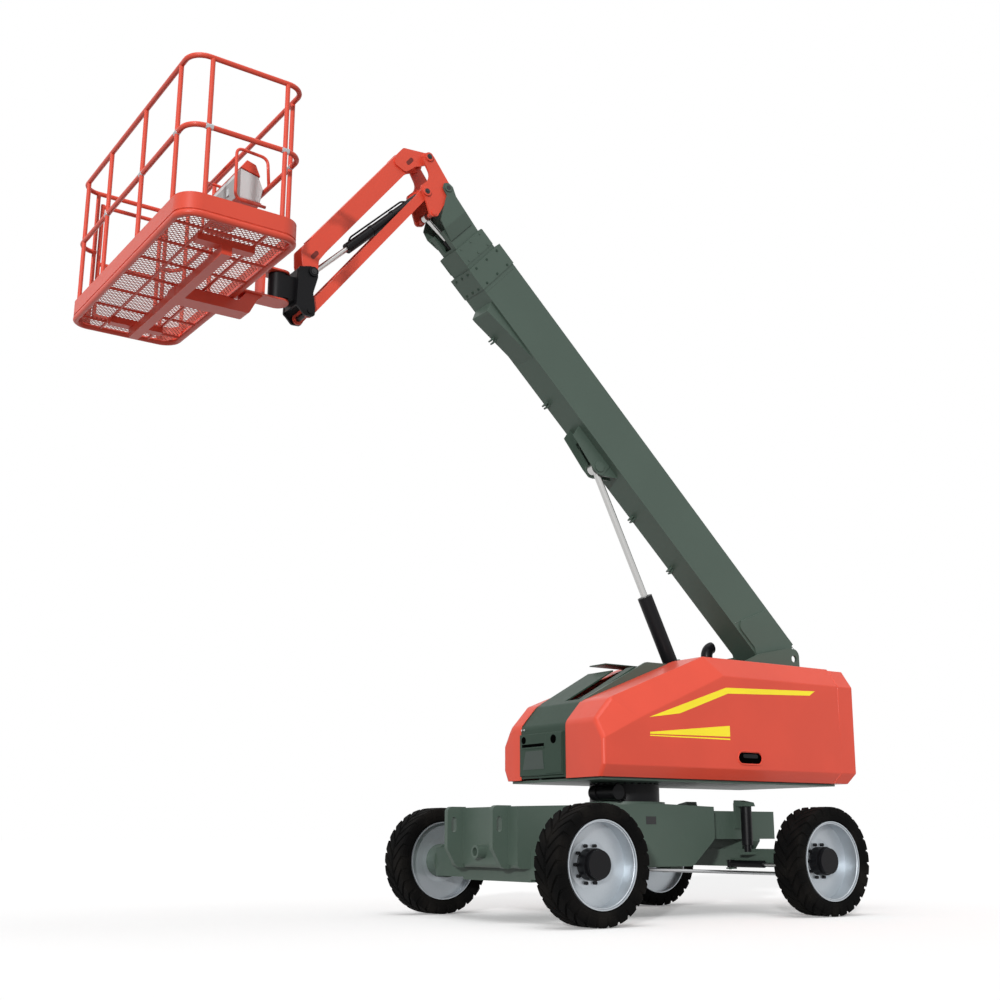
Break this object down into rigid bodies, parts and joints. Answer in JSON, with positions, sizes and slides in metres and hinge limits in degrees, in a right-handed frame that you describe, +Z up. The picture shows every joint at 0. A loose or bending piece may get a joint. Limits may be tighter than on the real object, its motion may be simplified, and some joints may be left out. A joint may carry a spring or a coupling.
{
  "type": "telescopic boom lift",
  "caption": "Self-propelled boom lift with a slewing turntable, telescoping box boom, levelled jib and a railed work platform on four wheels.",
  "frame": {"origin": "on the ground, under the middle of the box around the whole machine at rest", "axes": "+X runs forward, toward the platform, +Y to the machine's left, +Z up"},
  "size_m": [6.9295, 2.446, 6.4135],
  "materials": {
    "black_paint": "semi-gloss",
    "body_red": "gloss",
    "cast_red": "gloss",
    "chrome": "polished",
    "console_white": "satin",
    "deck_grey": "satin",
    "engine_grey": "satin",
    "frame_green": "semi-gloss",
    "hood_shell": "gloss",
    "rim_silver": "satin",
    "steel_grey": "satin",
    "tyre": "matte"
  },
  "bodies": {
    "chassis": {"chassis_frame": "frame_green", "front_axle": "frame_green", "steer_axle": "frame_green", "axle_lock_cylinders": "black_paint", "swing_bearing": "black_paint"},
    "steering_left": {"steering_knuckle_left": "frame_green"},
    "steering_right": {"steering_knuckle_right": "frame_green"},
    "tie_rod": {"tie_rod": "steel_grey"},
    "steering_barrel": {"steering_cylinder_barrel": "black_paint"},
    "steering_rod": {"steering_cylinder_rod": "chrome"},
    "wheel_front_left": {"tyre_front_left": "tyre", "rim_front_left": "rim_silver", "hub_front_left": "black_paint"},
    "wheel_front_right": {"tyre_front_right": "tyre", "rim_front_right": "rim_silver", "hub_front_right": "black_paint"},
    "wheel_rear_left": {"tyre_rear_left": "tyre", "rim_rear_left": "rim_silver", "hub_rear_left": "black_paint"},
    "wheel_rear_right": {"tyre_rear_right": "tyre", "rim_rear_right": "rim_silver", "hub_rear_right": "black_paint"},
    "turntable": {"turntable_frame": "frame_green", "upright_left": "frame_green", "upright_right": "frame_green", "counterweight": "cast_red", "front_cover": "frame_green", "rear_cover": "frame_green", "exhaust_pipe": "black_paint", "engine_block": "engine_grey"},
    "hood_left": {"hood_left": "hood_shell"},
    "hood_right": {"hood_right": "hood_shell"},
    "boom_base": {"base_boom": "frame_green", "lift_cylinder_bracket": "frame_green"},
    "boom_mid": {"mid_boom": "frame_green"},
    "boom_fly": {"fly_boom": "frame_green"},
    "lift_rod": {"lift_cylinder_rod": "chrome"},
    "lift_barrel": {"lift_cylinder_barrel": "black_paint"},
    "level_barrel": {"level_cylinder_barrel": "black_paint"},
    "level_rod": {"level_cylinder_rod": "chrome"},
    "knuckle": {"jib_knuckle": "body_red"},
    "jib_arm": {"jib_upper_arm": "body_red"},
    "jib_link": {"jib_lower_link": "body_red"},
    "jib_barrel": {"jib_cylinder_barrel": "black_paint"},
    "jib_rod": {"jib_cylinder_rod": "chrome"},
    "jib_head": {"jib_head": "black_paint", "rotary_actuator": "black_paint"},
    "platform": {"platform_arm": "body_red", "platform_floor_frame": "body_red", "platform_deck": "deck_grey", "platform_toe_boards": "body_red", "guard_rails": "body_red", "control_console": "console_white"},
    "gate": {"entry_gate": "body_red"}
  },
  "joints": [
    {"name": "front_left_wheel_spin", "type": "hinge", "parent": "chassis", "child": "wheel_front_left", "pos_m": [-0.03055, 1.0815, 0.442], "axis": [0, 1, 0], "continuous": true},
    {"name": "front_right_wheel_spin", "type": "hinge", "parent": "chassis", "child": "wheel_front_right", "pos_m": [-0.03055, -1.0815, 0.442], "axis": [0, 1, 0], "continuous": true},
    {"name": "rear_left_wheel_spin", "type": "hinge", "parent": "steering_left", "child": "wheel_rear_left", "pos_m": [-2.48855, 1.0815, 0.442], "axis": [0, 1, 0], "continuous": true},
    {"name": "rear_right_wheel_spin", "type": "hinge", "parent": "steering_right", "child": "wheel_rear_right", "pos_m": [-2.48855, -1.0815, 0.442], "axis": [0, 1, 0], "continuous": true},
    {"name": "steer", "type": "hinge", "parent": "chassis", "child": "steering_left", "pos_m": [-2.48855, 0.87, 0.442], "axis": [0, 0, 1], "range_deg": [-25, 25]},
    {"name": "steer_right", "type": "hinge", "parent": "chassis", "child": "steering_right", "pos_m": [-2.48855, -0.87, 0.442], "axis": [0, 0, 1], "range_deg": [-25.01, 25.01]},
    {"name": "tie_rod_ball", "type": "hinge", "parent": "steering_left", "child": "tie_rod", "pos_m": [-2.23855, 0.85, 0.358], "axis": [0, 0, 1], "range_deg": [-25.01, 25.01]},
    {"name": "steering_cylinder_foot", "type": "hinge", "parent": "chassis", "child": "steering_barrel", "pos_m": [-2.33855, 0.15, 0.408], "axis": [0, 0, 1], "range_deg": [-0.69, 0.69]},
    {"name": "steering_cylinder_stroke", "type": "slide", "parent": "steering_barrel", "child": "steering_rod", "axis": [0, 1, 0], "range_m": [-0.06374, 0.06374]},
    {"name": "slew", "type": "hinge", "parent": "chassis", "child": "turntable", "pos_m": [-1.25955, 0, 1.07], "axis": [0, 0, 1], "continuous": true},
    {"name": "hood_left_lift", "type": "hinge", "parent": "turntable", "child": "hood_left", "pos_m": [-1.85955, 0.212, 2.165], "axis": [1, 0, 0], "range_deg": [0, 65]},
    {"name": "hood_right_lift", "type": "hinge", "parent": "turntable", "child": "hood_right", "pos_m": [-1.85955, -0.442, 2.165], "axis": [-1, 0, 0], "range_deg": [0, 65]},
    {"name": "boom_lift", "type": "hinge", "parent": "turntable", "child": "boom_base", "pos_m": [-2.97955, 0, 2.14], "axis": [0, -1, 0], "range_deg": [-43.35, 29]},
    {"name": "telescope", "type": "slide", "parent": "boom_base", "child": "boom_mid", "axis": [0.7272, 0, 0.6865], "range_m": [0, 2.65]},
    {"name": "fly_extension", "type": "slide", "parent": "boom_mid", "child": "boom_fly", "axis": [0.7272, 0, 0.6865], "range_m": [0, 2.651]},
    {"name": "lift_rod_pin", "type": "hinge", "parent": "boom_base", "child": "lift_rod", "pos_m": [-0.99614, 0, 3.87895], "axis": [0, -1, 0], "range_deg": [-0.98, 1.46]},
    {"name": "lift_cylinder_stroke", "type": "slide", "parent": "lift_rod", "child": "lift_barrel", "axis": [-0.4446, 0, -0.8957], "range_m": [-0.70965, 0.47507]},
    {"name": "level_pin", "type": "hinge", "parent": "boom_fly", "child": "knuckle", "pos_m": [0.70071, 0, 6.10649], "axis": [0, -1, 0], "range_deg": [-29.01, 43.36]},
    {"name": "level_cylinder_foot", "type": "hinge", "parent": "boom_fly", "child": "level_barrel", "pos_m": [0.19058, 0, 5.36639], "axis": [0, -1, 0], "range_deg": [-0.74, 0.5]},
    {"name": "level_cylinder_stroke", "type": "slide", "parent": "level_barrel", "child": "level_rod", "axis": [0.803, 0, 0.596], "range_m": [-0.1354, 0.20191]},
    {"name": "jib_luff", "type": "hinge", "parent": "knuckle", "child": "jib_arm", "pos_m": [0.88771, 0, 6.35549], "axis": [0, 1, 0], "range_deg": [-122, 8]},
    {"name": "jib_link_pin", "type": "hinge", "parent": "knuckle", "child": "jib_link", "pos_m": [0.90471, 0, 6.01949], "axis": [0, 1, 0], "range_deg": [-122.01, 8.01]},
    {"name": "jib_head_pin", "type": "hinge", "parent": "jib_arm", "child": "jib_head", "pos_m": [1.94584, 0, 4.99821], "axis": [0, 1, 0], "range_deg": [-8.01, 122.01]},
    {"name": "jib_cylinder_foot", "type": "hinge", "parent": "knuckle", "child": "jib_barrel", "pos_m": [0.90471, 0, 6.01949], "axis": [0, 1, 0], "range_deg": [-118.35, 7.77]},
    {"name": "jib_cylinder_stroke", "type": "slide", "parent": "jib_barrel", "child": "jib_rod", "axis": [0.7139, 0, -0.7003], "range_m": [-0.04024, 0.59933]},
    {"name": "platform_rotate", "type": "hinge", "parent": "jib_head", "child": "platform", "pos_m": [2.19045, 0, 4.725], "axis": [0, 0, 1], "range_deg": [-90, 90]},
    {"name": "gate_swing", "type": "hinge", "parent": "platform", "child": "gate", "pos_m": [2.71145, -1.196, 4.688], "axis": [0, 0, 1], "range_deg": [0, 90]}
  ],
  "couplings": [
    {"joint": "steer_right", "follows": "steer", "ratio": 1},
    {"joint": "tie_rod_ball", "follows": "steer", "ratio": -1},
    {"joint": "steering_cylinder_foot", "follows": "steer", "ratio": -0.027394},
    {"joint": "steering_cylinder_stroke", "follows": "steer", "m_per_rad": 0.14379},
    {"joint": "fly_extension", "follows": "telescope", "ratio": 1},
    {"joint": "lift_rod_pin", "follows": "boom_lift", "ratio": -0.033333},
    {"joint": "lift_cylinder_stroke", "follows": "boom_lift", "m_per_rad": 0.93663},
    {"joint": "level_pin", "follows": "boom_lift", "ratio": -1},
    {"joint": "level_cylinder_foot", "follows": "boom_lift", "ratio": 0.016872},
    {"joint": "level_cylinder_stroke", "follows": "boom_lift", "m_per_rad": -0.26554},
    {"joint": "jib_link_pin", "follows": "jib_luff", "ratio": 1},
    {"joint": "jib_head_pin", "follows": "jib_luff", "ratio": -1},
    {"joint": "jib_cylinder_foot", "follows": "jib_luff", "ratio": 0.97},
    {"joint": "jib_cylinder_stroke", "follows": "jib_luff", "m_per_rad": -0.281}
  ]
}
